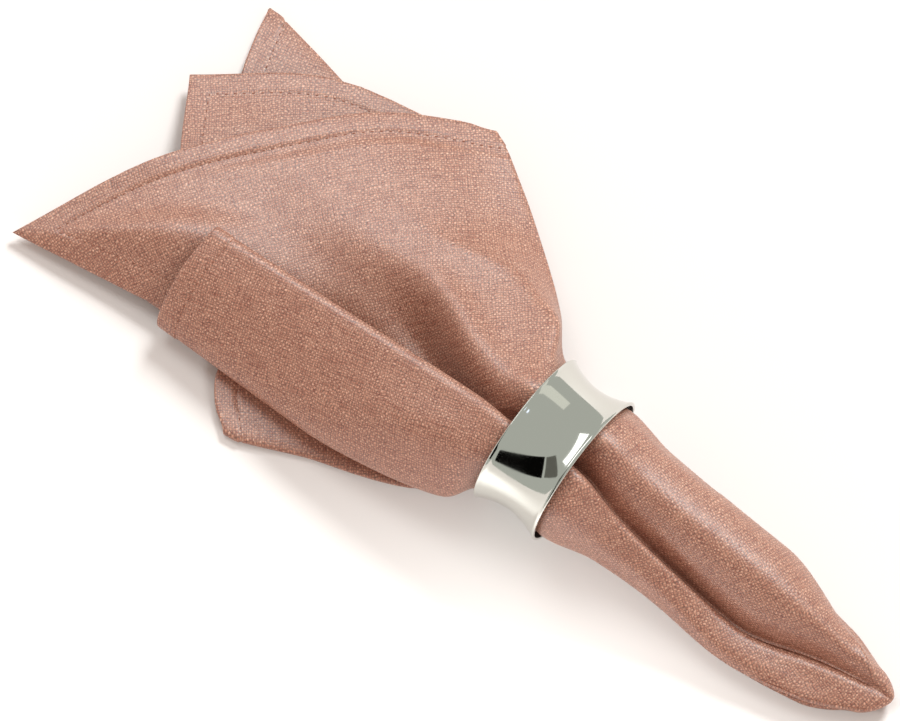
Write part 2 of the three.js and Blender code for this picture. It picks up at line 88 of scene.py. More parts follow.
# Stations along the cloth: length of cloth from the tail's cap, x in the tail, loops up to the next station
STATIONS = {
    "cap": (0, 106, 14),
    "far": (14, 92, 16),
    "mid": (40, 66, 9),
    "waist": (60, 46, 9),
    "near": (80, 26, 7),
    "tail_mouth": (95, MOUTH_X, 5),
    "ring": (106, 0, 5),
    "fan_mouth": (117, -MOUTH_X, 8),
    "flare": (132, None, 14),
    "half": (165, None, 38),
    "outer": (205, None, 0),
    "hem": (245, None, 0),
}
LENGTHS = np.array([length for length, x, loops in STATIONS.values()], float)
STATION_X = {name: x for name, (length, x, loops) in STATIONS.items()}

# Loops of the hem: distance from the edge of the cloth, and thickness there
STITCH_LOOP = 6.0
HEM_LOOPS = {
    8.5: CLOTH_THICKNESS,
    7.4: CLOTH_THICKNESS,
    6.7: CLOTH_THICKNESS,
    STITCH_LOOP: GROOVE_THICKNESS,
    5.4: HEM_THICKNESS,
    4.4: HEM_THICKNESS,
    3.0: HEM_THICKNESS,
    1.6: HEM_THICKNESS,
    0.6: HEM_THICKNESS,
    0.2: ROUNDED_THICKNESS,
    0.0: EDGE_THICKNESS,
}

# The hem is drawn down along its sewing on the top layer, in patches with more or less of this depth
HEM_TROUGH = {"from_edge": 7.2, "width": 2.6, "depth": 0.5, "patch": 23, "patch_plane": 5}
LEAST_SHARE, USUAL_SHARE, MOST_SHARE = 0.2, 0.75, 1.3

# The fan's sections are picked from this many, and a column meets the hem at no less than this sine
DENSE_SECTIONS = 321
LEAST_SLANT = 0.3

# Fold lines of the cloth in the tail, in order round its section: (y, z) at each station
# cap, far, mid, waist, near, ring
TAIL = {
    "crest_in": ((2.6, 7.0), (-0.7, 9.4), (-7.4, 11.6), (-7.3, 19.4), (-6.3, 28.4), (-4.0, 36.8)),
    "crest_out": ((1.6, 7.4), (-2.3, 10.7), (-9.2, 13.0), (-9.4, 21.2), (-8.9, 30.2), (-6.8, 38.9)),
    "flap": ((-1.4, 7.0), (-7.0, 9.9), (-13.6, 12.0), (-13.2, 18.2), (-14.4, 25.0), (-14.2, 33.6)),
    "low_up": ((-4.2, 5.4), (-11.2, 6.9), (-15.7, 8.2), (-14.8, 12.4), (-16.4, 17.4), (-17.9, 22.5)),
    "low_down": ((-4.5, 4.5), (-11.0, 5.2), (-15.0, 5.8), (-14.0, 9.2), (-15.0, 13.0), (-16.2, 16.0)),
    "low_in": ((-4.5, 4.2), (-9.8, 4.8), (-11.0, 5.3), (-9.0, 7.4), (-10.0, 8.8), (-9.0, 12.2)),
    "tuck_up": ((-4.5, 4.0), (-8.6, 4.6), (-7.0, 4.9), (-3.0, 6.2), (2.0, 8.2), (6.0, 12.2)),
    "tuck_down": ((-4.4, 3.5), (-8.6, 3.1), (-7.0, 3.4), (-3.0, 4.7), (2.0, 6.7), (6.0, 10.7)),
    "front": ((-4.3, 3.2), (-9.6, 2.8), (-10.4, 3.0), (-8.0, 4.5), (-5.0, 6.6), (-4.0, 10.6)),
    "edge_up": ((-4.1, 2.9), (-10.6, 2.4), (-13.6, 2.7), (-12.4, 4.1), (-12.4, 6.5), (-11.6, 10.7)),
    "edge_down": ((-3.2, 1.6), (-10.4, 1.0), (-13.3, 1.1), (-12.1, 2.5), (-12.1, 4.9), (-11.3, 9.1)),
    "under_front": ((-1.2, 1.0), (-5.4, 0.6), (-7.0, 0.6), (-6.4, 1.2), (-6.4, 3.2), (-6.4, 6.3)),
    "under": ((1.8, 0.8), (-1.0, 0.5), (-1.0, 0.5), (-1.0, 0.7), (-1.0, 2.4), (-1.0, 5.1)),
    "under_back": ((5.4, 0.9), (7.0, 0.5), (9.4, 0.5), (9.0, 1.0), (8.6, 3.0), (7.6, 6.8)),
    "back_down": ((7.5, 1.7), (12.2, 1.7), (15.6, 2.2), (15.6, 3.8), (14.5, 6.8), (12.8, 11.0)),
    "back_up": ((8.4, 3.2), (12.8, 3.5), (15.8, 4.0), (15.8, 5.6), (14.8, 8.8), (13.2, 12.8)),
    "side_down": ((8.2, 6.0), (10.8, 6.9), (15.8, 12.8), (15.8, 19.4), (16.4, 22.9), (16.4, 27.6)),
    "side_up": ((7.7, 6.9), (10.8, 8.4), (17.8, 14.8), (17.4, 21.2), (17.6, 25.0), (17.0, 29.2)),
    "ridge": ((6.9, 8.0), (9.2, 13.2), (13.4, 23.0), (13.6, 28.8), (13.6, 33.0), (13.0, 35.4)),
    "top": ((5.8, 8.7), (6.0, 15.6), (5.2, 26.6), (4.6, 32.4), (4.8, 36.8), (5.4, 40.2)),
    "trough": ((4.6, 7.9), (3.4, 13.0), (-1.8, 20.4), (-1.4, 26.6), (-0.8, 31.8), (0.6, 35.2)),
    "left": ((4.1, 7.3), (2.2, 9.8), (-4.4, 13.6), (-4.0, 19.4), (-3.0, 28.0), (-0.3, 32.0)),
    "valley_up": ((3.7, 6.9), (1.5, 8.2), (-5.4, 10.0), (-5.0, 15.6), (-4.2, 25.2), (-1.0, 29.9)),
    "valley_flap": ((3.2, 6.8), (0.1, 8.1), (-7.0, 9.9), (-6.6, 15.6), (-5.8, 25.3), (-2.6, 29.9)),
    "flap_in": ((2.9, 6.9), (-0.3, 8.7), (-7.3, 10.8), (-7.1, 17.6), (-6.1, 26.8), (-3.3, 33.2)),
}

# The same fold lines over the fan: (x, y, z) at flare, half, outer and hem
# An empty outer lies halfway between half and hem.
FAN = {
    "crest_in": ((-24, -4.0, 35.2), (-58, -5.0, 28.6), None, (-110.4, -6.8, 22.4)),
    "crest_out": ((-24, -6.4, 38.0), (-58, -6.6, 31.2), None, (-111, -8.2, 25.0)),
    "flap": ((-22, -18.2, 32.6), (-60, -21.0, 23.6), None, (-112, -20.6, 19.2)),
    "low_up": ((-17.5, -26.4, 18.6), (-60, -33.4, 11.4), None, (-110.2, -33.2, 6.8)),
    "low_down": ((-17.5, -25.6, 13.0), (-60, -32.4, 6.6), None, (-108.6, -32.0, 4.4)),
    "low_in": ((-23, -17.0, 7.0), (-59, -24.0, 4.3), None, (-102, -25.0, 3.8)),
    "tuck_up": ((-25, -6.0, 5.2), (-58, -10.0, 3.7), None, (-92, -12.0, 3.7)),
    "tuck_down": ((-25, -6.0, 3.7), (-58, -10.0, 2.2), None, (-92, -12.0, 2.2)),
    "front": ((-25, -12.0, 4.2), (-57, -22.0, 2.2), None, (-89.6, -34.0, 2.1)),
    "edge_up": ((-28, -27.0, 5.0), (-56, -36.8, 2.1), None, (-79, -46.8, 2.0)),
    "edge_down": ((-28, -26.8, 3.0), (-56, -36.6, 0.6), None, (-78.8, -46.5, 0.5)),
    "under_front": ((-25, -14.0, 1.9), (-57, -22.0, 0.5), None, (-92, -31.0, 0.5)),
    "under": ((-25, -2.0, 1.4), (-58, -8.0, 0.5), None, (-142, -24.0, 0.5)),
    "under_back": ((-25, 9.0, 2.2), (-58, 12.0, 0.5), None, (-120, 22.0, 0.5)),
    "back_down": ((-25, 17.6, 4.6), (-50, 27.9, 0.7), (-106, 50.1, 0.5), (-141.8, 57.1, 0.5)),
    "back_up": ((-25, 18.0, 6.4), (-50, 28.0, 2.4), (-106, 50.4, 2.2), (-142, 57.3, 2.2)),
    "side_down": ((-22, 29.8, 22.0), (-45.4, 48.6, 15.4), None, (-69.2, 64.0, 14.8)),
    "side_up": ((-21.5, 30.6, 24.0), (-45.4, 49.2, 17.2), None, (-69.4, 64.5, 16.6)),
    "ridge": ((-19, 24.6, 33.4), (-46, 31.0, 26.8), None, (-96, 49.0, 16.8)),
    "top": ((-23, 5.0, 36.4), (-52, 17.0, 26.2), None, (-113, 32.0, 16.4)),
    "trough": ((-25, -3.2, 27.0), (-56, 6.5, 18.8), (-95, 7.5, 18.2), (-138, 1.8, 13.2)),
    "left": ((-26, -5.4, 25.0), (-58, -4.4, 16.4), (-110, -9.0, 18.4), (-158, -36.0, 2.5)),
    "valley_up": ((-25, -7.6, 22.8), (-58, -24.0, 8.0), None, (-110.6, -29.2, 6.6)),
    "valley_flap": ((-25, -9.4, 23.6), (-58.4, -25.4, 9.6), None, (-111, -29.8, 8.0)),
    "flap_in": ((-25, -6.8, 29.6), (-58, -16.0, 19.6), None, (-111, -19.0, 16.4)),
}

# Pleats stacked behind the ring: sides they turn at, lowest and highest end, lowest and highest layer
PLEAT_SIDES = ("left", "right", "left", "right", "left", "right", "left", "right", "left")
PLEAT_COUNT = len(PLEAT_SIDES)
PLEAT_ENDS = {
    "left": {
        "near": ((-6,), (-8,)),
        "ring": ((-8.5,), (-14,)),
        "flare": ((-25, -6), (-25, -1)),
        "half": ((-56, -3), (-55, 5)),
        "hem": ((-112, -13), (-111, -10)),
    },
    "right": {
        "near": ((13.6,), (15,)),
        "ring": ((13.6,), (15.2,)),
        "flare": ((-25, 22), (-25, 26)),
        "half": ((-47, 41), (-46, 45)),
        "hem": ((-84, 54), (-80, 59)),
    },
}
PLEAT_HEIGHTS = {
    "left": {
        "near": (10.6, 22.7), "ring": (14, 27), "flare": (8.1, 22), "half": (3.4, 16), "hem": (4.2, 16.6),
    },
    "right": {
        "near": (10.6, 22.7), "ring": (14, 27), "flare": (6.3, 20.9), "half": (2, 14.8), "hem": (1.8, 14),
    },
}
PLEAT_HEM_STAGGER = (0, 2, -2, 1)

# Fold lines inside the layers of the back corner (layer 0) and the centre corner:
# y at near and ring, then x, y and share of the way from the left ends to the right ones at flare and half
CENTRE_LAYER = 7
INNER = {
    "back_in": {
        "layer": 0, "near": 8, "ring": 5, "flare": (-25, 6, 0.6), "half": (-52, 15, 0.6),
        "outer": (-106, 33, 2.3), "hem": (-135, 34.5, 2.2),
    },
    "centre_in": {
        "layer": CENTRE_LAYER, "near": -1, "ring": -5, "flare": (-25, 3, 0.19), "half": (-54, 12, 0.18),
        "outer": (-100, 2, 13.6), "hem": (-130.5, 3.4, 11.9),
    },
    "centre": {
        "layer": CENTRE_LAYER, "near": 4, "ring": 1, "flare": (-25, 10, 0.44), "half": (-52, 20, 0.39),
        "outer": (-106, 22, 12.9), "hem": (-146.7, 28.5, 4.2),
    },
    "centre_back": {
        "layer": CENTRE_LAYER, "near": 9, "ring": 8, "flare": (-25, 17, 0.7), "half": (-49.5, 30, 0.64),
        "outer": (-90, 42, 11.9), "hem": (-114.6, 49.9, 9.8),
    },
}

# The pleats fade into the tail's back wall: share of the wall's height for a fold
WALL_FOLD_SHARE = 4
WALL_STATIONS = ("cap", "far", "mid", "waist")
WALL_POINTS_BETWEEN = {"centre": 2, "back_up": 0}

# Steps from one fold line to the next: four, but for these
STEPS_BETWEEN = {
    "crest_out": 8, "flap": 10, "low_up": 8, "front": 6, "under_front": 8, "under": 8, "under_back": 6,
    "back_down": 3, "back_up": 3, "tuck_up": 3, "centre_in": 9, "centre": 9, "side_up": 10, "ridge": 10,
    "top": 10, "trough": 14, "left": 14, "valley_flap": 5, "flap_in": 5,
}
PLEAT_FOLD_STEPS = 3
PLAIN_STEPS = 4

# Layers that show creases, between the fold lines that bound them
TOP_LAYER = ("side_up", "valley_up")
FLAP_LAYER = ("crest_out", "low_up")
FRONT_ROLL = ("valley_flap", "low_up")
TAIL_RIDGE = ("side_up", "trough")

# Creases: layer, width, how sharp they are (2 soft, 1 crisp), and their line in plan with the height that
# they add, below zero for a trough
CREASES = {
    "front_valley": (TOP_LAYER, 4.2, 2, (
        (-64, 6, 0), (-54, 4.5, -1.2), (-45, 2.2, -2.2), (-35, -1.5, -2.4), (-26, -4, -1.4), (-18, -5, 0))),
    "valley_floor": (TOP_LAYER, 7, 2, (
        (-84, -6, 0), (-70, -6, -2.4), (-56, -6, -4), (-42, -8, -3.4), (-30, -8, -1.8), (-22, -8, 0))),
    "valley_head": (TOP_LAYER, 8, 2, ((-104, 10, 0), (-88, 10, 1.2), (-72, 9.5, 1.4), (-62, 9, 0))),
    "valley_bank": (TOP_LAYER, 4.4, 2, (
        (-64, 19.5, 0), (-54, 17, 1.2), (-45, 14, 2.4), (-35, 9, 2.8), (-25, 5.5, 1.8), (-17, 4, 0))),
    "side_crest": (TOP_LAYER, 4.5, 1.2, (
        (-84, 29, 0), (-62, 27, 0.9), (-39, 32.5, 2.2), (-19, 27.4, 2.4), (-13, 24, 0.7))),
    "shoulder": (TOP_LAYER, 7, 2, ((-60, 44, 0), (-42, 41, -0.9), (-27, 33, -1), (-20, 30, 0))),
    "left_ridge": (TOP_LAYER, 4.5, 1.5, (
        (-152, -32, 0), (-140, -26, 0.8), (-127, -18, 1.1), (-114, -10, 0.6), (-100, -6, 0))),
    "soft_fold": (TOP_LAYER, 6, 2, (
        (-112, 20, 0), (-92, 20, 0.6), (-72, 17, 0.8), (-52, 16, 0.8), (-36, 13, 0))),
    "flap_hollow": (FLAP_LAYER, 7, 2, ((-106, -21, 0), (-88, -22, -0.9), (-62, -21, -0.7), (-42, -19, 0))),
    "flap_swell": (FLAP_LAYER, 6, 2, ((-70, -29, 0), (-52, -27, 0.8), (-36, -22, 0.9), (-22, -18, 0))),
    "tail_hollow": (FRONT_ROLL, 6, 2, (
        (58, -12, 0), (70, -9.5, -1.0), (80, -7.5, -2.4), (92, -5.5, -3.2), (102, -2, -1.3), (109, 2, -0.2))),
    "tip_fold": (TAIL_RIDGE, 1.4, 1, ((90, 12.6, 0.5), (94, 10.4, 1.8), (100, 7.2, 2.2), (108, 2.6, 1.4))),
}

# Corners that the photo shows rounded, all layers together: place in plan, reach, how far they are drawn in
ROUNDED_CORNERS = {
    "side": ((-69.4, 64.5), 5, (0.1, -1.4, -0.5)),
    "front": ((-79, -46.8), 4, (0.4, 1.6, 0)),
    "back": ((-142, 57.3), 3, (0.7, -0.9, 0)),
}

# Slow unevenness of the whole drape, in plan: wave length and height
WAVES = ((36, 0.9), (14, 0.3))

# The waves start and are full this far from the ring's middle along its axis, and this high over the table
WAVES_START = 15
WAVES_FULL = 34
WAVES_LOW = 2.5
WAVES_HIGH = 9

# Corners of the napkin that stay sharp at the hem
SHARP_CORNERS = ("left", "centre")

# How sharply the cloth turns at a fold that is still open, and at one that is closed
OPEN_TURN = -0.2
CLOSED_TURN = 0.6


def smoothstep(values, low, high):
    share = np.clip((np.asarray(values, float) - low) / (high - low), 0, 1)
    return share * share * (3 - 2 * share)


def lerp(start, end, share):
    return start + (end - start) * share


def unit(vectors):
    return vectors / np.linalg.norm(vectors, axis=-1, keepdims=True)


def pleat_names(index):
    return f"pleat{index}_a", f"pleat{index}_b"


def pocket_names():
    """Order of the fold lines between the back corner and the side fold."""
    names = ["back_in"]
    for index in range(PLEAT_COUNT):
        if index == CENTRE_LAYER:
            names += ["centre_in", "centre", "centre_back"]
        names += pleat_names(index)
    return names


POCKET = pocket_names()
SIDE = list(TAIL).index("side_down")
LOOP = list(TAIL)[:SIDE] + POCKET + list(TAIL)[SIDE:]
FOLD_STARTS = {"crest_in", "tuck_up", "edge_up", "back_down", "side_down", "valley_up"}
FOLD_STARTS |= {pleat_names(index)[0] for index in range(PLEAT_COUNT)}


def steps_between(name):
    if name.startswith("pleat") and name.endswith("_a"):
        return PLEAT_FOLD_STEPS
    return STEPS_BETWEEN.get(name, PLAIN_STEPS)


STEPS = [steps_between(name) for name in LOOP]
COLUMN = {name: sum(STEPS[:i]) for i, name in enumerate(LOOP)}
COLUMNS = sum(STEPS)


def layer_height(station, layer, share):
    """Height of a pleat layer at a share of the way from the left ends to the right ones."""
    level = layer / PLEAT_COUNT
    left, right = (lerp(*PLEAT_HEIGHTS[side][station], level) for side in ("left", "right"))
    return lerp(left, right, share)


def ring_points(y, z):
    """The section at the ring's mouths is the one at its waist, grown about the ring's axis."""
    wide = (y * MOUTH_GROWTH, AXIS_HEIGHT + (z - AXIS_HEIGHT) * MOUTH_GROWTH)
    return {
        "tail_mouth": (STATION_X["tail_mouth"], *wide),
        "ring": (STATION_X["ring"], y, z),
        "fan_mouth": (STATION_X["fan_mouth"], *wide),
    }


def table_line(name):
    """A fold line that the two tables give."""
    *tail, ring = TAIL[name]
    flare, half, outer, hem = FAN[name]
    line = {station: (STATION_X[station], *point) for station, point in zip(STATIONS, tail)}
    outer = outer or tuple(lerp(np.array(half), np.array(hem), 0.5))
    return {**line, **ring_points(*ring), "flare": flare, "half": half, "outer": outer, "hem": hem}


def pleat_line(index, layer):
    """One of the two lines of a pleat's fold, on one of the layers that it joins."""
    side = PLEAT_SIDES[index]
    level = layer / PLEAT_COUNT
    share = 0 if side == "left" else 1
    ends = {}
    for station, (low, high) in PLEAT_ENDS[side].items():
        place = lerp(np.array(low, float), np.array(high, float), level)
        ends[station] = (*place, layer_height(station, layer, share))
    hem = np.array(ends["hem"]) + (PLEAT_HEM_STAGGER[index % len(PLEAT_HEM_STAGGER)], 0, 0)
    return {
        "near": (STATION_X["near"], *ends["near"]),
        **ring_points(*ends["ring"]),
        "flare": ends["flare"],
        "half": ends["half"],
        "outer": lerp(np.array(ends["half"]), hem, 0.5),
        "hem": hem,
    }


def inner_line(name):
    """A fold line inside the back or centre corner's layer."""
    row = INNER[name]
    layer = row["layer"]
    line = {
        "near": (STATION_X["near"], row["near"], layer_height("near", layer, 0)),
        **ring_points(row["ring"], layer_height("ring", layer, 0)),
        "outer": row["outer"],
        "hem": row["hem"],
    }
    for station in ("flare", "half"):
        x, y, share = row[station]
        line[station] = (x, y, layer_height(station, layer, share))
    return line


def wall_shares():
    """Where each pocket line meets the tail's back wall, from the back fold (0) to the side fold (1)."""
    shares = []
    before = "back_up"
    for name in POCKET + ["side_down"]:
        pleat_end = name.startswith("pleat") and name.endswith("_b")
        wide = pleat_end or before in ("back_up", "back_in") or name == "side_down"
        after_pleat = before.startswith("pleat")
        plain = 1 if after_pleat else WALL_POINTS_BETWEEN.get(before, 1) + 1
        shares.append(WALL_FOLD_SHARE if wide else plain)
        before = name
    return np.cumsum(shares) / sum(shares)


def fold_lines():
    """Every fold line, as its points at the stations."""
    lines = {name: table_line(name) for name in TAIL}
    for index in range(PLEAT_COUNT):
        for layer, name in zip((index, index + 1), pleat_names(index)):
            lines[name] = pleat_line(index, layer)
    for name in INNER:
        lines[name] = inner_line(name)
    for name, share in zip(POCKET, wall_shares()):
        for station in WALL_STATIONS:
            back, side = (np.array(lines[end][station], float) for end in ("back_up", "side_down"))
            lines[name][station] = lerp(back, side, share)
    return np.array([[lines[name][station] for station in STATIONS] for name in LOOP], float)


def along_lines(points, lengths):
    """Points of the fold lines at lengths of cloth, on curves that never overshoot their stations."""
    spans = np.diff(LENGTHS)[None, :, None]
    rises = np.diff(points, axis=1) / spans
    before, after = rises[:, :-1], rises[:, 1:]
    first = 2 * spans[:, 1:] + spans[:, :-1]
    second = spans[:, 1:] + 2 * spans[:, :-1]
    same = before * after > 0
    with np.errstate(divide="ignore", invalid="ignore"):
        inner = np.where(same, (first + second) / (first / before + second / after), 0)
    slopes = np.concatenate((rises[:, :1], inner, rises[:, -1:]), axis=1)
    k = np.clip(np.searchsorted(LENGTHS, lengths, side="right") - 1, 0, len(LENGTHS) - 2)
    span = spans[0, k]
    f = ((lengths - LENGTHS[k])[:, None]) / span
    start, start_slope, end, end_slope = cubic_weights(f)
    return (start * points[:, k] + start_slope * span * slopes[:, k]
            + end * points[:, k + 1] + end_slope * span * slopes[:, k + 1])


def cubic_weights(f):
    """Weights of a cubic's start, start tangent, end and end tangent."""
    return (1 + 2 * f) * (1 - f) ** 2, f * (1 - f) ** 2, f * f * (3 - 2 * f), f * f * (f - 1)


def closing(before, start, end, after):
    """How far the layers on either side of a fold lie back to back: 0 straight on, 1 closed."""
    turn = -np.sum(unit(start - before) * unit(after - end), axis=-1, keepdims=True)
    return smoothstep(turn, OPEN_TURN, CLOSED_TURN)


def even_tangents(a, b, c, d):
    """Tangents at the middle two of four points, for the span between them."""
    first, second, third = (np.sqrt(np.linalg.norm(v, axis=-1, keepdims=True)) for v in (b - a, c - b, d - c))
    start = c - b + second * ((b - a) / first - (c - a) / (first + second))
    end = c - b + second * ((d - c) / third - (d - b) / (second + third))
    return start, end


def span_points(rails, i, sharp):
    """Points from fold line i to the next, in every section at once."""
    def at(offset):
        return rails[(i + offset) % len(LOOP)]

    def name_at(offset):
        return LOOP[(i + offset) % len(LOOP)]

    chord = at(1) - at(0)
    start, end = even_tangents(at(-1), at(0), at(1), at(2))
    if name_at(0) in SHARP_CORNERS:
        start = lerp(start, chord, sharp)
    if name_at(1) in SHARP_CORNERS:
        end = lerp(end, chord, sharp)
    if name_at(0) in FOLD_STARTS:
        reach = 2 * np.linalg.norm(chord, axis=-1, keepdims=True)
        closed = closing(at(-1), at(0), at(1), at(2))
        start = lerp(start, unit(at(0) - at(-1)) * reach, closed)
        end = lerp(end, unit(at(2) - at(1)) * reach, closed)
    else:
        if name_at(-1) in FOLD_STARTS:
            start = lerp(start, chord, closing(at(-2), at(-1), at(0), at(1)))
        if name_at(1) in FOLD_STARTS:
            end = lerp(end, chord, closing(at(0), at(1), at(2), at(3)))
    points = []
    for step in range(STEPS[i]):
        w = cubic_weights(step / STEPS[i])
        points.append(w[0] * at(0) + w[1] * start + w[2] * at(1) + w[3] * end)
    return points


def smooth_sections(lengths):
    """The cloth's middle surface: one closed section for each length, from the cap to the hem."""
    rails = along_lines(fold_lines(), lengths)
    sharp = smoothstep(lengths, LENGTHS[-2], LENGTHS[-1])[:, None]
    columns = [point for i in range(len(LOOP)) for point in span_points(rails, i, sharp)]
    return np.stack(columns, axis=1)


def nose_sections(cap):
    """Sections of the round nose: the cap's section drawn in to the tip along a tapered quarter ellipse."""
    angles = (math.pi / 2) * np.arange(1, NOSE_STEPS)[:, None, None] / NOSE_STEPS
    sections = TIP + (cap - TIP)[None] * np.sin(angles) * (1 - NOSE_TAPER * np.cos(angles))
    sections[..., 0] = TIP[0] - NOSE_LENGTH * (1 - np.cos(angles[..., 0]))
    return sections


def hem_slants(sections):
    """Sine of the angle at which each column meets the hem."""
    hem = sections[-1]
    column = unit(sections[-1] - sections[-3])
    sides = [unit(np.roll(hem, -turn, axis=0) - hem) for turn in (1, -1)]
    slants = [np.linalg.norm(np.cross(column, side), axis=1) for side in sides]
    return np.clip(np.mean(slants, axis=0), LEAST_SLANT, 1)


def fan_sections():
    """Sections from half to hem, evenly spaced, then at set distances from the cloth's edge."""
    start = list(STATIONS).index("half")
    dense = smooth_sections(np.linspace(LENGTHS[start], LENGTHS[-1], DENSE_SECTIONS))
    steps = np.linalg.norm(np.diff(dense, axis=0), axis=2)
    to_hem = np.concatenate((np.cumsum(steps[::-1], axis=0)[::-1], np.zeros((1, COLUMNS))))
    slants = hem_slants(dense)
    loops = STATIONS["half"][2]
    result = np.zeros((loops + len(HEM_LOOPS), COLUMNS, 3))
    for i in range(COLUMNS):
        hem = np.array(list(HEM_LOOPS)) / slants[i]
        even = np.linspace(to_hem[0, i], hem[0], loops + 1)[:-1]
        wanted = np.concatenate((even, hem))
        for axis in range(3):
            result[:, i, axis] = np.interp(-wanted, -to_hem[:, i], dense[:, i, axis])
    return result


def columns_between(first, last):
    """Which columns lie from one fold line to another, round the section."""
    start, end = COLUMN[first], COLUMN[last]
    columns = np.arange(COLUMNS)
    if start <= end:
        return (columns >= start) & (columns <= end)
    return (columns >= start) | (columns <= end)


def crease_heights(places, width, sharpness, line):
    """Height that one crease adds at plan places."""
    heights = np.zeros(places.shape[:-1])
    points = np.array(line, float)
    for start, end in zip(points, points[1:]):
        along = end[:2] - start[:2]
        from_start = places - start[:2]
        share = np.clip(from_start @ along / (along @ along), 0, 1)
        away = np.linalg.norm(from_start - share[..., None] * along, axis=-1)
        height = lerp(start[2], end[2], share) * np.exp(-(away / width) ** sharpness)
        heights = np.where(np.abs(height) > np.abs(heights), height, heights)
    return heights


def wave_heights(places):
    """Slow waves that lift and lower all the layers at a place together."""
    heights = np.zeros(places.shape[:-1])
    for k, (length, height) in enumerate(WAVES):
        spots = np.concatenate((places / length, np.full(places.shape[:-1] + (1,), k)), axis=-1)
        swells = [noise.noise(spot) for spot in spots.reshape(-1, 3)]
        heights += height * np.array(swells).reshape(heights.shape)
    return heights


def hem_trough_heights(hem):
    """The uneven trough along the sewing of the top layer, in the loops near the hem."""
    distances = np.array(list(HEM_LOOPS))[:, None]
    across = np.exp(-((distances - HEM_TROUGH["from_edge"]) / HEM_TROUGH["width"]) ** 2)
    patch, plane = HEM_TROUGH["patch"], HEM_TROUGH["patch_plane"]
    patches = np.array([noise.noise((x / patch, y / patch, plane)) for x, y, z in hem])
    shares = np.clip(USUAL_SHARE + patches, LEAST_SHARE, MOST_SHARE)
    return -HEM_TROUGH["depth"] * across * shares


def crease_cloth(sections):
    """Adds the creases, the hem's trough, the rounded corners and the slow waves to the plain folds."""
    plain = sections.copy()
    places = plain[..., :2]
    for layer, width, sharpness, line in CREASES.values():
        columns = columns_between(*layer)
        sections[:, columns, 2] += crease_heights(places[:, columns], width, sharpness, line)
    top = columns_between("side_up", "left")
    sections[-len(HEM_LOOPS):, top, 2] += hem_trough_heights(plain[-1, top])
    for corner, reach, pull in ROUNDED_CORNERS.values():
        away = np.linalg.norm(places - np.array(corner), axis=-1)
        sections += np.exp(-(away / reach) ** 2)[..., None] * np.array(pull)
    clear_of_ring = smoothstep(np.abs(places[..., 0]), WAVES_START, WAVES_FULL)
    off_table = smoothstep(plain[..., 2], WAVES_LOW, WAVES_HIGH)
    sections[..., 2] += wave_heights(places) * clear_of_ring * off_table


def cloth_sections():
    """All sections, from the tip to the hem."""
    lengths = []
    names = list(STATIONS)
    for name, after in zip(names, names[1:]):
        if name == "half":
            break
        steps = STATIONS[name][2]
        lengths += list(np.linspace(STATIONS[name][0], STATIONS[after][0], steps + 1)[:-1])
    body = smooth_sections(np.array(lengths))
    sections = np.concatenate((nose_sections(body[0]), body, fan_sections()))
    crease_cloth(sections)
    sections[..., 2] = np.maximum(sections[..., 2], CLOTH_LIFT)
    return sections


def select_only(piece):
    """Makes a piece the only selected one and the active one."""
    bpy.ops.object.select_all(action="DESELECT")
    piece.select_set(True)
    bpy.context.view_layer.objects.active = piece


def apply_modifier(piece, kind, **settings):
    """Adds a modifier with its settings and applies it."""
    select_only(piece)
    modifier = piece.modifiers.new(kind.title(), kind)
    for name, value in settings.items():
        setattr(modifier, name, value)
    bpy.ops.object.modifier_apply(modifier=modifier.name)


def grid_mesh(name, sections):
    """One layer of cloth: the tip, then the sections' columns."""
    loops = len(sections)
    vertices = np.concatenate((TIP[None], sections.reshape(-1, 3))) * MM + UNDER_RING
    j, i = np.meshgrid(np.arange(loops - 1), np.arange(COLUMNS), indexing="ij")
    following = (i + 1) % COLUMNS
    quads = 1 + np.stack((j * COLUMNS + i, (j + 1) * COLUMNS + i,
                          (j + 1) * COLUMNS + following, j * COLUMNS + following), axis=-1).reshape(-1, 4)
    fan = [(0, 1 + i, 1 + (i + 1) % COLUMNS) for i in range(COLUMNS)]
    mesh = bpy.data.meshes.new(name)
    mesh.from_pydata(vertices.tolist(), [], fan + quads.tolist())
    piece = bpy.data.objects.new(name, mesh)
    bpy.context.collection.objects.link(piece)
    return piece


# Where the weave's layout is cut, and the way the threads of the layer after each cut run, in plan
PLAIN_THREADS = (0.66, 0.75)
TAIL_THREADS = (0.25, 0.97)
FAN_CUTS = {
    **{pleat_names(index)[1]: PLAIN_THREADS for index in range(PLEAT_COUNT)},
    pleat_names(CENTRE_LAYER - 1)[1]: (0.85, 0.52),
    "valley_flap": (0.79, 0.61),
    "low_in": PLAIN_THREADS,
    "tuck_down": (0.58, -0.82),
    "edge_down": PLAIN_THREADS,
    "back_up": (0.34, -0.94),
    "side_down": PLAIN_THREADS,
}
TAIL_CUTS = {
    "valley_flap": TAIL_THREADS,
    "low_in": TAIL_THREADS,
    "back_up": (1, 0),
    "side_down": TAIL_THREADS,
}
LOOPS_TO_RING = [loops for length, x, loops in STATIONS.values() if length < STATIONS["ring"][0]]
RING_LOOP = NOSE_STEPS - 1 + sum(LOOPS_TO_RING)
UNWRAP_STEPS = 12

# Edges that turn more than this stay sharp
SMOOTH_ANGLE = math.radians(60)


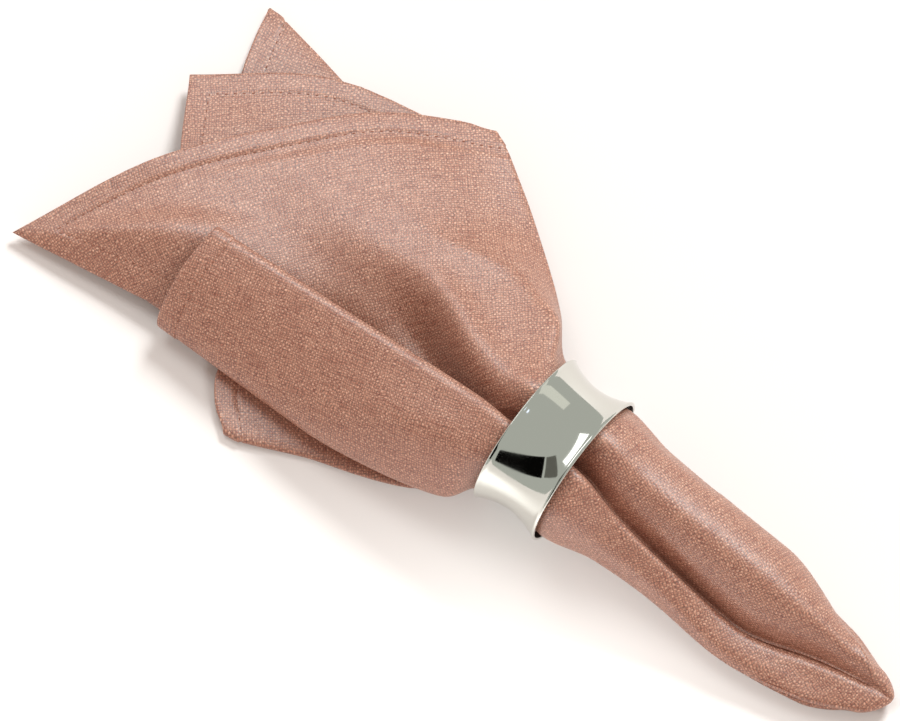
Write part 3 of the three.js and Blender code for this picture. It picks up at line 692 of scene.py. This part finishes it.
def mark_cuts(mesh):
    """Marks the cuts as seams: along the cut fold lines, and round the section inside the ring."""
    ends = np.zeros(len(mesh.edges) * 2, int)
    mesh.edges.foreach_get("vertices", ends)
    loop, column = np.divmod(np.sort(ends.reshape(-1, 2), axis=1) - 1, COLUMNS)
    lengthwise = loop[:, 0] != loop[:, 1]
    in_fan = loop[:, 0] >= RING_LOOP
    fan_cut = np.isin(column[:, 1], [COLUMN[name] for name in FAN_CUTS])
    tail_cut = np.isin(column[:, 1], [COLUMN[name] for name in TAIL_CUTS])
    seams = np.where(lengthwise, np.where(in_fan, fan_cut, tail_cut), loop[:, 0] == RING_LOOP)
    mesh.edges.foreach_set("use_seam", seams)


def layers_of_faces(mesh):
    """For each layer between cuts: the way its threads run, and which faces are its."""
    faces = np.arange(len(mesh.polygons)) - COLUMNS
    loop, column = np.divmod(faces, COLUMNS)
    for cuts, part in ((TAIL_CUTS, loop < RING_LOOP), (FAN_CUTS, loop >= RING_LOOP)):
        names = sorted(cuts, key=COLUMN.get)
        for name, after in zip(names, names[1:] + names[:1]):
            start, end = COLUMN[name], COLUMN[after]
            inside = (column >= start) & (column < end) if start < end else (column >= start) | (column < end)
            yield cuts[name], part & inside


def lay_out_weave(piece):
    """Flattens each layer of the cloth by itself, at true size, its threads turned the way they run."""
    mesh = piece.data
    mark_cuts(mesh)
    mesh.uv_layers.new(name="cloth")
    select_only(piece)
    bpy.ops.object.mode_set(mode="EDIT")
    bpy.ops.mesh.select_all(action="SELECT")
    bpy.ops.uv.unwrap(method="MINIMUM_STRETCH", iterations=UNWRAP_STEPS, margin=0)
    bpy.ops.object.mode_set(mode="OBJECT")
    layer = mesh.uv_layers["cloth"].uv
    uv = np.zeros(len(layer) * 2)
    layer.foreach_get("vector", uv)
    uv = uv.reshape(-1, 2)
    corner = np.zeros(len(mesh.loops), int)
    mesh.loops.foreach_get("vertex_index", corner)
    places = np.array([vertex.co for vertex in mesh.vertices])[corner]
    starts = np.array([face.loop_start for face in mesh.polygons])
    totals = np.array([face.loop_total for face in mesh.polygons])
    for threads, faces in layers_of_faces(mesh):
        first = starts[faces]
        true = np.linalg.norm(places[first] - places[first + 1], axis=1).sum()
        flat = np.linalg.norm(uv[first] - uv[first + 1], axis=1).sum()
        corners = np.repeat(faces, totals)
        uv[corners] = (uv[corners] - uv[corners].mean(axis=0)) * true / flat
        to_place = np.linalg.lstsq(uv[corners], places[corners] - places[corners].mean(axis=0), rcond=None)[0]
        dx, dy = unit(to_place @ np.array((*threads, 0)))
        uv[corners] = uv[corners] @ np.array(((dx, -dy), (dy, dx)))
    layer.foreach_set("vector", uv.ravel())


def thicken(piece, loops):
    """Gives the sheet its thickness: most at the hem, least in the hem's stitched groove."""
    group = piece.vertex_groups.new(name="thickness")
    span = HEM_THICKNESS - GROOVE_THICKNESS
    plain = (CLOTH_THICKNESS - GROOVE_THICKNESS) / span
    group.add(list(range(len(piece.data.vertices))), plain, "REPLACE")
    for k, thickness in enumerate(HEM_LOOPS.values()):
        start = 1 + (loops - len(HEM_LOOPS) + k) * COLUMNS
        group.add(list(range(start, start + COLUMNS)), (thickness - GROOVE_THICKNESS) / span, "REPLACE")
    apply_modifier(piece, "SOLIDIFY", thickness=HEM_THICKNESS * MM, offset=0, vertex_group="thickness",
                   thickness_vertex_group=GROOVE_THICKNESS / HEM_THICKNESS)
    select_only(piece)
    bpy.ops.object.shade_smooth_by_angle(angle=SMOOTH_ANGLE)


def napkin(sections):
    """The folded sheet, thicker along its sewn hem."""
    piece = grid_mesh("napkin_cloth", sections)
    lay_out_weave(piece)
    thicken(piece, len(sections))
    return piece


def stitch_places(sections):
    """Evenly spaced places along the hem's sewing: middle, way along the hem and face of the cloth."""
    row = len(sections) - len(HEM_LOOPS) + list(HEM_LOOPS).index(STITCH_LOOP)
    line = sections[row]
    closed = np.concatenate((line, line[:1]))
    lengths = np.concatenate(([0], np.cumsum(np.linalg.norm(np.diff(closed, axis=0), axis=1))))
    across = sections[row + 1] - sections[row - 1]
    across = np.concatenate((across, across[:1]))
    middles = np.arange(STITCH_PITCH / 2, lengths[-1], STITCH_PITCH)

    def at(values, where):
        return np.stack([np.interp(where, lengths, values[:, axis]) for axis in range(3)], axis=1)

    middle = at(closed, middles)
    before = unit(middle - at(closed, middles - STITCH_LENGTH / 2))
    after = unit(at(closed, middles + STITCH_LENGTH / 2) - middle)
    straight = np.sum(before * after, axis=1) > math.cos(STITCH_SHARPEST_TURN)
    along = unit(before + after)
    face = unit(np.cross(along, at(across, middles)))
    return middle[straight], along[straight], face[straight]


def stitch_points(place, way, out):
    """Rings of points round one stitch, from end to end."""
    beside = np.cross(way, out)
    points = []
    for share, size, lift in STITCH_RINGS:
        off_middle = GROOVE_THICKNESS / 2 + lift * STITCH_RADIUS
        centre = place + way * share * STITCH_LENGTH / 2 + out * off_middle
        for turn in np.arange(STITCH_SIDES) * 2 * math.pi / STITCH_SIDES:
            round_way = out * math.cos(turn) + beside * math.sin(turn)
            points.append(centre + round_way * size * STITCH_RADIUS)
    return points


def stitch_faces(first):
    """Sides and ends of the stitch whose points start at an index."""
    last_ring = len(STITCH_RINGS) - 1
    faces = []
    for ring in range(last_ring):
        low = first + ring * STITCH_SIDES
        high = low + STITCH_SIDES
        for k in range(STITCH_SIDES):
            following = (k + 1) % STITCH_SIDES
            faces.append((low + k, low + following, high + following, high + k))
    faces.append([first + k for k in reversed(range(STITCH_SIDES))])
    faces.append([first + last_ring * STITCH_SIDES + k for k in range(STITCH_SIDES)])
    return faces


def hem_sewing(sections):
    """Running stitches in the hem's groove, on both faces of the cloth."""
    middle, along, face = stitch_places(sections)
    vertices = []
    faces = []
    for side in (1, -1):
        for place, way, out in zip(middle, along, face * side):
            faces += stitch_faces(len(vertices))
            vertices += stitch_points(place, way, out)
    mesh = bpy.data.meshes.new("hem_sewing")
    mesh.from_pydata((np.array(vertices) * MM + UNDER_RING).tolist(), [], faces)
    piece = bpy.data.objects.new("hem_sewing", mesh)
    bpy.context.collection.objects.link(piece)
    select_only(piece)
    bpy.ops.object.mode_set(mode="EDIT")
    bpy.ops.mesh.select_all(action="SELECT")
    bpy.ops.mesh.normals_make_consistent(inside=False)
    bpy.ops.object.mode_set(mode="OBJECT")
    bpy.ops.object.shade_smooth()
    return piece


def linear(hex_colour):
    """An sRGB hex colour as linear red, green, blue and alpha."""
    channels = [int(hex_colour[k:k + 2], 16) / 255 for k in (1, 3, 5)]
    return (*[c / 12.92 if c <= 0.04045 else ((c + 0.055) / 1.055) ** 2.4 for c in channels], 1.0)


def add_node(tree, kind, inputs=None, **settings):
    """Adds a node with its settings; an input given as a socket is linked, any other is set."""
    made = tree.nodes.new(kind)
    for name, value in settings.items():
        setattr(made, name, value)
    for socket, value in (inputs or {}).items():
        if isinstance(value, bpy.types.NodeSocket):
            tree.links.new(value, made.inputs[socket])
        else:
            made.inputs[socket].default_value = value
    return made


def new_material(name):
    """An empty node material: itself, its tree and its output."""
    material = bpy.data.materials.new(name)
    material.use_nodes = True
    tree = material.node_tree
    tree.nodes.clear()
    output = add_node(tree, "ShaderNodeOutputMaterial")
    return material, tree, output


def yarn_tone(tree, threads, streak, pale, deep):
    """Colour of one set of yarns: slubs run far along a yarn and change from each yarn to the next."""
    stretched = add_node(tree, "ShaderNodeMapping", {"Vector": threads, "Scale": streak}).outputs["Vector"]
    slub = add_node(tree, "ShaderNodeTexNoise",
                    {"Vector": stretched, "Scale": 1.0, "Detail": 3.0, "Roughness": 0.75},
                    noise_dimensions="2D").outputs["Fac"]
    share = add_node(tree, "ShaderNodeMapRange",
                     {"Value": slub, "From Min": 0.28, "From Max": 0.72}).outputs["Result"]
    return add_node(tree, "ShaderNodeMix", {"Factor": share, "A": linear(deep), "B": linear(pale)},
                    data_type="RGBA").outputs["Result"]


def slub_linen():
    """Plain-woven slub linen: pale and darker yarns crossing, thick and thin, with a pale haze where lit."""
    material, tree, output = new_material("slub_linen")
    flat = add_node(tree, "ShaderNodeUVMap", uv_map="cloth").outputs["UV"]
    # Lengths are counted in threads from here on.
    per_metre = 1 / (THREAD_PITCH * MM)
    straight = add_node(tree, "ShaderNodeMapping",
                        {"Vector": flat, "Scale": (per_metre, per_metre, 1)}).outputs["Vector"]
    # Threads wander by about two pitches over some six.
    wander = add_node(tree, "ShaderNodeTexNoise", {"Vector": straight, "Scale": 0.16, "Detail": 3.0},
                      noise_dimensions="2D").outputs["Color"]
    threads = add_node(tree, "ShaderNodeVectorMath", {0: wander, 1: (2.2, 2.2, 0), 2: straight},
                       operation="MULTIPLY_ADD").outputs["Vector"]
    # A wave with this scale has one crest for each thread.
    crest = 2 * math.pi / 20
    warp, weft = (add_node(tree, "ShaderNodeTexWave", {"Vector": threads, "Scale": crest},
                           bands_direction=across).outputs["Fac"] for across in ("X", "Y"))
    crossing = add_node(tree, "ShaderNodeMath", {0: warp, 1: weft}, operation="MULTIPLY").outputs["Value"]
    over = add_node(tree, "ShaderNodeTexChecker", {"Vector": threads, "Scale": 1.0}).outputs["Fac"]
    warp_tone = yarn_tone(tree, threads, (0.9, 0.12, 1), "#be866c", "#844634")
    weft_tone = yarn_tone(tree, threads, (0.1, 0.9, 1), "#d29f85", "#94543e")
    woven = add_node(tree, "ShaderNodeMix", {"Factor": over, "A": weft_tone, "B": warp_tone},
                     data_type="RGBA").outputs["Result"]
    # The yarns' crossings stand up and catch the light, unevenly, and the gaps between them are dark: this
    # light and shade is painted into the colour, and the same relief drives the bump.
    fleck = add_node(tree, "ShaderNodeTexNoise", {"Vector": threads, "Scale": 1.3, "Detail": 2.0},
                     noise_dimensions="2D").outputs["Fac"]
    relief = add_node(tree, "ShaderNodeMath", {0: fleck, 1: 1.5, 2: crossing},
                      operation="MULTIPLY_ADD").outputs["Value"]
    shade = add_node(tree, "ShaderNodeMapRange",
                     {"Value": relief, "From Min": 0.45, "From Max": 1.75, "To Min": 0.46, "To Max": 1.38})
    colour = add_node(tree, "ShaderNodeMix", {"Factor": 1.0, "A": woven, "B": shade.outputs["Result"]},
                      data_type="RGBA", blend_type="MULTIPLY").outputs["Result"]
    bump = add_node(tree, "ShaderNodeBump", {"Strength": 0.4, "Distance": 0.1 * MM, "Height": relief})
    shader = add_node(tree, "ShaderNodeBsdfPrincipled", {
        "Base Color": colour, "Roughness": 0.46, "Specular IOR Level": 1.0, "Sheen Weight": 0.1,
        "Sheen Roughness": 0.5, "Sheen Tint": linear("#f3e2da"), "Normal": bump.outputs["Normal"]})
    tree.links.new(shader.outputs[0], output.inputs[0])
    return material


def sewing_thread():
    """Spun cotton sewing thread, matt and slightly mottled, deeper than the cloth: partly the thread's own
    tone, partly painted shade where the stitches sink into the cloth.
    """
    material, tree, output = new_material("sewing_thread")
    place = add_node(tree, "ShaderNodeTexCoord").outputs["Object"]
    mottle = add_node(tree, "ShaderNodeTexNoise", {"Vector": place, "Scale": 1 / (THREAD_MOTTLE * MM)})
    # Two deep browns: the thread's own tone, darkened further as painted shade of the holes that the stitches
    # sink into
    colour = add_node(tree, "ShaderNodeMix",
                      {"Factor": mottle.outputs["Fac"], "A": linear("#7a4635"), "B": linear("#a0674f")},
                      data_type="RGBA").outputs["Result"]
    shader = add_node(tree, "ShaderNodeBsdfPrincipled", {"Base Color": colour, "Roughness": 0.75})
    tree.links.new(shader.outputs[0], output.inputs[0])
    return material


def steel(name, colour, grain, detail, roughness):
    """Stainless steel: its colour, the size of its marks and what they do to its roughness."""
    material, tree, output = new_material(name)
    place = add_node(tree, "ShaderNodeTexCoord").outputs["Object"]
    marks = add_node(tree, "ShaderNodeTexNoise",
                     {"Vector": place, "Scale": 1 / (grain * MM), "Detail": detail}).outputs["Fac"]
    rough = add_node(tree, "ShaderNodeMapRange", {"Value": marks, **roughness}).outputs["Result"]
    shader = add_node(tree, "ShaderNodeBsdfPrincipled",
                      {"Base Color": linear(colour), "Metallic": 1.0, "Roughness": rough})
    tree.links.new(shader.outputs[0], output.inputs[0])
    return material


def polished_steel():
    """The ring's outside: a clear mirror with the faintest smears."""
    smears = {"From Min": 0.35, "From Max": 0.7, "To Min": 0.05, "To Max": 0.11}
    return steel("polished_steel", "#d2d3cd", STEEL_SMEAR, 3.0, smears)


def painted_shade_steel():
    """The ring's inside: a very dark steel, painted shade standing in for the shade inside the ring, dull and
    with a fine grain.
    """
    return steel("painted_shade_steel", "#2c2b29", STEEL_GRAIN, 2.0, {"To Min": 0.35, "To Max": 0.6})


def white_table():
    """A matt painted table top: white, with no gloss, so that only soft shadows show on it."""
    material, tree, output = new_material("white_table")
    shader = add_node(tree, "ShaderNodeBsdfPrincipled", {"Base Color": linear("#cbcbc9"), "Roughness": 0.8})
    tree.links.new(shader.outputs[0], output.inputs[0])
    return material


# Ring sizes, as the solid's
RING_RIM_RADIUS = (RING_HIGH.y - RING_LOW.y) / 2 / MM
RING_LENGTH = (RING_HIGH.x - RING_LOW.x) / MM
RING_WAIST_RADIUS = 20.25
RING_WALL = 0.8
RING_LIP_RADIUS = 0.55
RING_FACETS = 192
RING_CURVE_STEPS = 20
RING_LIP_STEPS = 8
RING_WELD = 0.005

# Faces of the ring that look towards its axis more than this are its inside
INSIDE_FACING = -0.6


def ring_profile():
    """(x, radius) round the wall's section: outside, lip, inside, lip."""
    lip_x = RING_LENGTH / 2 - RING_LIP_RADIUS
    lip_radius = RING_RIM_RADIUS - RING_LIP_RADIUS
    waist = RING_WAIST_RADIUS - RING_WALL / 2
    wall_end = lip_x - RING_LIP_RADIUS
    profile = []
    for face in (1, -1):
        for x in np.linspace(-wall_end, wall_end, RING_CURVE_STEPS + 1) * face:
            profile.append((x, lerp(waist, lip_radius, (x / lip_x) ** 2) + face * RING_WALL / 2))
        for angle in np.linspace(math.pi / 2, -math.pi / 2, RING_LIP_STEPS + 1):
            profile.append((face * (lip_x + RING_LIP_RADIUS * math.cos(angle)),
                            lip_radius + face * RING_LIP_RADIUS * math.sin(angle)))
    return profile


def napkin_ring():
    """A circle of the ring's waist, extruded and scaled along its axis through the whole section."""
    profile = ring_profile()
    x, radius = profile[0]
    centre = RING_CENTRE
    bpy.ops.object.select_all(action="DESELECT")
    bpy.ops.mesh.primitive_circle_add(vertices=RING_FACETS, radius=radius * MM, rotation=(0, math.pi / 2, 0),
                                      location=(centre.x + x * MM, centre.y, centre.z))
    piece = bpy.context.object
    piece.name = "polished_ring"
    bpy.ops.object.transform_apply(location=True, rotation=True, scale=True)
    bpy.ops.object.mode_set(mode="EDIT")
    bpy.ops.mesh.select_all(action="SELECT")
    for next_x, next_radius in profile[1:] + profile[:1]:
        bpy.ops.mesh.extrude_region_move(TRANSFORM_OT_translate={"value": ((next_x - x) * MM, 0, 0)})
        grow = next_radius / radius
        middle = (centre.x + next_x * MM, centre.y, centre.z)
        bpy.ops.transform.resize(value=(1, grow, grow), center_override=middle)
        x, radius = next_x, next_radius
    bpy.ops.mesh.select_all(action="SELECT")
    bpy.ops.mesh.remove_doubles(threshold=RING_WELD * MM)
    bpy.ops.mesh.normals_make_consistent(inside=False)
    bpy.ops.object.mode_set(mode="OBJECT")
    bpy.ops.object.shade_smooth()
    piece.data.materials.append(polished_steel())
    piece.data.materials.append(painted_shade_steel())
    # Faces that look towards the axis take the very dark steel, painted shade for the ring's inside
    for face in piece.data.polygons:
        outwards = Vector((0, face.center.y - centre.y, face.center.z - centre.z))
        face.material_index = int(face.normal.dot(outwards.normalized()) < INSIDE_FACING)
    return piece


# Camera at the photo's angle, far away, as the photo shows little perspective
VIEW_AZIMUTH = math.radians(37.4)
VIEW_ELEVATION = math.radians(74)
LENS = 800
SENSOR = 36
PHOTO_WIDTH = 900
PIXELS_PER_MM = 3.69
AIM = Vector((-37.7 * MM, 2.9 * MM, AXIS_HEIGHT * MM)) + Vector(UNDER_RING)


def camera():
    """The view from the photo's side, high over the napkin."""
    a, e = VIEW_AZIMUTH, VIEW_ELEVATION
    right = Vector((math.cos(a), math.sin(a), 0))
    back = Vector((math.sin(a) * math.cos(e), -math.cos(a) * math.cos(e), math.sin(e)))
    data = bpy.data.cameras.new("view")
    data.lens = LENS
    data.sensor_width = SENSOR
    distance = LENS / SENSOR * PHOTO_WIDTH / PIXELS_PER_MM * MM
    made = bpy.data.objects.new("view", data)
    turn = Matrix((right, back.cross(right), back)).transposed().to_4x4()
    made.matrix_world = Matrix.Translation(AIM + back * distance) @ turn
    bpy.context.collection.objects.link(made)
    bpy.context.scene.camera = made


# The table top: its side and how far it lies under the napkin
TABLE_SIDE = 6
TABLE_GAP = 0.2 * MM

# Daylight boxes on the cloth, in a warmer room
DAYLIGHT = linear("#e1f7ff")[:3]

# Lights: kind, azimuth from +X, elevation, distance, what they light and their settings
LIGHTS = {
    "right_box": ("AREA", 66, 50, 1.3, "cloth", {"size": 0.4, "energy": 10.56, "color": DAYLIGHT}),
    "back_box": ("AREA", 150, 62, 1.3, "cloth", {"size": 0.45, "energy": 7.2, "color": DAYLIGHT}),
    "table_right": ("SUN", 98, 41, 1.3, "table", {"angle": math.radians(20), "energy": 4.2}),
    "table_back": ("SUN", 150, 62, 1.3, "table", {"angle": math.radians(25), "energy": 0.9}),
    "tail_fill": ("POINT", -50, 21, 0.13, "table", {"shadow_soft_size": 0.025, "energy": 0.4}),
}

# The room: light that it sends to the matt pieces, and how bright polished metal sees it
ROOM_LIGHT = ("#fbe6dc", 0.8)
ROOM_SEEN = ("#b9bbb4", 1.15)

# Cards that only polished metal sees: azimuth and elevation of their corners, colour and brightness
CARD_DISTANCE = 3
CARDS = {
    "dark_card": (((-48, 18), (-130, 53), (-128, 21), (-58, 6)), "#0a0908", 1),
    "grey_card": (((-134, 52), (-157, 50), (-152, 20), (-132, 22)), "#6d6c65", 1),
    "window": (((146, 36), (196, 36), (192, 22), (148, 22)), "#ffffff", 2.4),
    "pale_card": (((36, 26), (90, 43), (92, 26), (46, 15)), "#e4e4da", 1.15),
    "small_lamp": (((11, 44), (17, 44), (17, 50), (11, 50)), "#dfe8ff", 2.2),
}


def towards(azimuth, elevation):
    """Direction at an azimuth from +X and an elevation, in degrees."""
    a, e = math.radians(azimuth), math.radians(elevation)
    return Vector((math.cos(a) * math.cos(e), math.sin(a) * math.cos(e), math.sin(e)))


def glow(name, colour, brightness):
    """An evenly bright card."""
    material, tree, output = new_material(name)
    shader = add_node(tree, "ShaderNodeEmission", {"Color": linear(colour), "Strength": brightness})
    tree.links.new(shader.outputs[0], output.inputs[0])
    return material


def reflected_card(name, corners, colour, brightness):
    """A card in the room that shows in the ring alone and lights nothing else."""
    mesh = bpy.data.meshes.new(name)
    places = [AIM + towards(*corner) * CARD_DISTANCE for corner in corners]
    mesh.from_pydata(places, [], [range(len(corners))])
    card = bpy.data.objects.new(name, mesh)
    bpy.context.collection.objects.link(card)
    card.visible_camera = False
    card.visible_diffuse = False
    card.visible_shadow = False
    card.data.materials.append(glow(name, colour, brightness))


def add_light(name, kind, azimuth, elevation, distance, lit, settings):
    """A light for the cloth or the table alone, so that no white square shows in the ring."""
    direction = towards(azimuth, elevation)
    data = bpy.data.lights.new(name, kind)
    for setting, value in settings.items():
        setattr(data, setting, value)
    made = bpy.data.objects.new(name, data)
    made.location = AIM + direction * distance
    made.rotation_euler = direction.to_track_quat("Z", "Y").to_euler()
    bpy.context.collection.objects.link(made)
    made.light_linking.receiver_collection = lit


def room():
    """The world: warm white light for the matt pieces, a grey room in the polished ring."""
    world = bpy.data.worlds.new("room")
    bpy.context.scene.world = world
    world.use_nodes = True
    tree = world.node_tree
    tree.nodes.clear()
    seen, light = (
        add_node(tree, "ShaderNodeBackground", {"Color": linear(colour), "Strength": strength}).outputs[0]
        for colour, strength in (ROOM_SEEN, ROOM_LIGHT))
    ray = add_node(tree, "ShaderNodeLightPath").outputs["Is Glossy Ray"]
    either = add_node(tree, "ShaderNodeMixShader", {0: ray, 1: light, 2: seen}).outputs[0]
    add_node(tree, "ShaderNodeOutputWorld", {"Surface": either})


def studio(pieces):
    """A white table in a pale room, lit softly from its right and from behind it."""
    bpy.ops.object.select_all(action="DESELECT")
    bpy.ops.mesh.primitive_plane_add(size=TABLE_SIDE, location=(0, 0, -TABLE_GAP))
    floor = bpy.context.object
    floor.name = "table_top"
    floor.data.materials.append(white_table())
    room()
    lit = {}
    for name, members in {"cloth": pieces, "table": [floor]}.items():
        lit[name] = bpy.data.collections.new(name)
        for piece in members:
            lit[name].objects.link(piece)
    for name, (kind, azimuth, elevation, distance, lights, settings) in LIGHTS.items():
        add_light(name, kind, azimuth, elevation, distance, lit[lights], settings)
    for name, row in CARDS.items():
        reflected_card(name, *row)
    bpy.context.scene.view_settings.view_transform = "Standard"


sections = cloth_sections()
cloth = napkin(sections)
cloth.data.materials.append(slub_linen())
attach(cloth, "root")
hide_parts("napkin")

sewing = hem_sewing(sections)
sewing.data.materials.append(sewing_thread())
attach(sewing, "root")

ring = napkin_ring()
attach(ring, "root")
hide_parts("napkin_ring")

camera()
studio([cloth, sewing])
